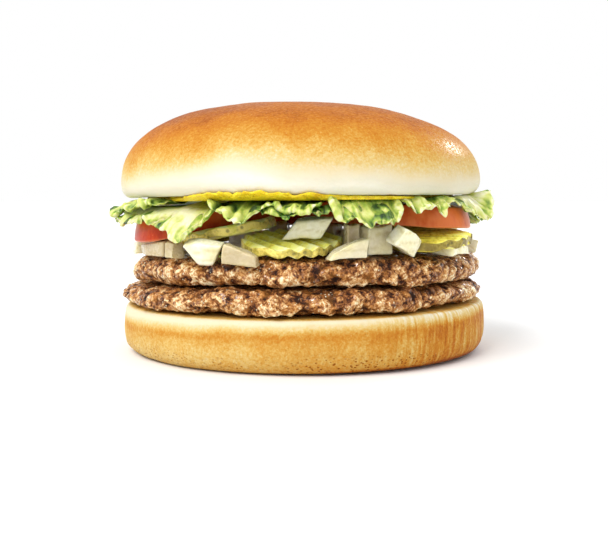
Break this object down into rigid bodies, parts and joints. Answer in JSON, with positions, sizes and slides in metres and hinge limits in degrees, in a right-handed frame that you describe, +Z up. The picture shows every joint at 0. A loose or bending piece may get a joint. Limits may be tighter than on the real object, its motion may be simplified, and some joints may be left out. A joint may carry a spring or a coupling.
{
  "type": "double hamburger",
  "caption": "Double hamburger on a plain soft bun, stacked with griddled beef patties, diced onion, crinkle-cut pickle, tomato, leaf lettuce and mustard.",
  "frame": {"origin": "centre of the heel's flat base, on the bun's axis, where the burger stands", "axes": "+Z up through the stack, -Y towards the side that the picture shows, +X to the right of that side"},
  "size_m": [0.1347, 0.1316, 0.0863],
  "materials": {
    "bun": "soft baked crust, satin on top, pale and matt at the sides",
    "beef patty": "griddled minced beef, coarse, with wet highlights",
    "onion": "raw white onion, moist and slightly translucent",
    "pickle": "wet ridged gherkin flesh with a dark green skin",
    "tomato": "ripe tomato slice, wet, with a smooth skin at its rim",
    "lettuce": "fresh leaf, pale at its ribs, brighter at its ruffled rim",
    "mustard": "smooth wet yellow mustard"
  },
  "bodies": {
    "root": {"crown": "bun", "heel": "bun", "lettuce_back": "lettuce", "lettuce_back_left": "lettuce", "lettuce_back_right": "lettuce", "lettuce_far_left": "lettuce", "lettuce_front": "lettuce", "lettuce_front_right": "lettuce", "lettuce_left": "lettuce", "lettuce_middle": "lettuce", "lettuce_right": "lettuce", "lettuce_right_frill": "lettuce", "mustard": "mustard", "onion_01": "onion", "onion_02": "onion", "onion_03": "onion", "onion_04": "onion", "onion_05": "onion", "onion_06": "onion", "onion_07": "onion", "onion_08": "onion", "onion_09": "onion", "onion_10": "onion", "onion_11": "onion", "onion_12": "onion", "onion_13": "onion", "onion_14": "onion", "onion_15": "onion", "onion_16": "onion", "onion_17": "onion", "onion_18": "onion", "onion_19": "onion", "onion_20": "onion", "onion_21": "onion", "onion_under_1": "onion", "onion_under_2": "onion", "onion_under_3": "onion", "onion_under_4": "onion", "onion_under_5": "onion", "onion_under_6": "onion", "patty_lower": "beef patty", "patty_upper": "beef patty", "pickle_1": "pickle", "pickle_2": "pickle", "pickle_3": "pickle", "pickle_4": "pickle", "pickle_5": "pickle", "pickle_6": "pickle", "tomato_1": "tomato", "tomato_2": "tomato", "tomato_3": "tomato"}
  },
  "joints": []
}
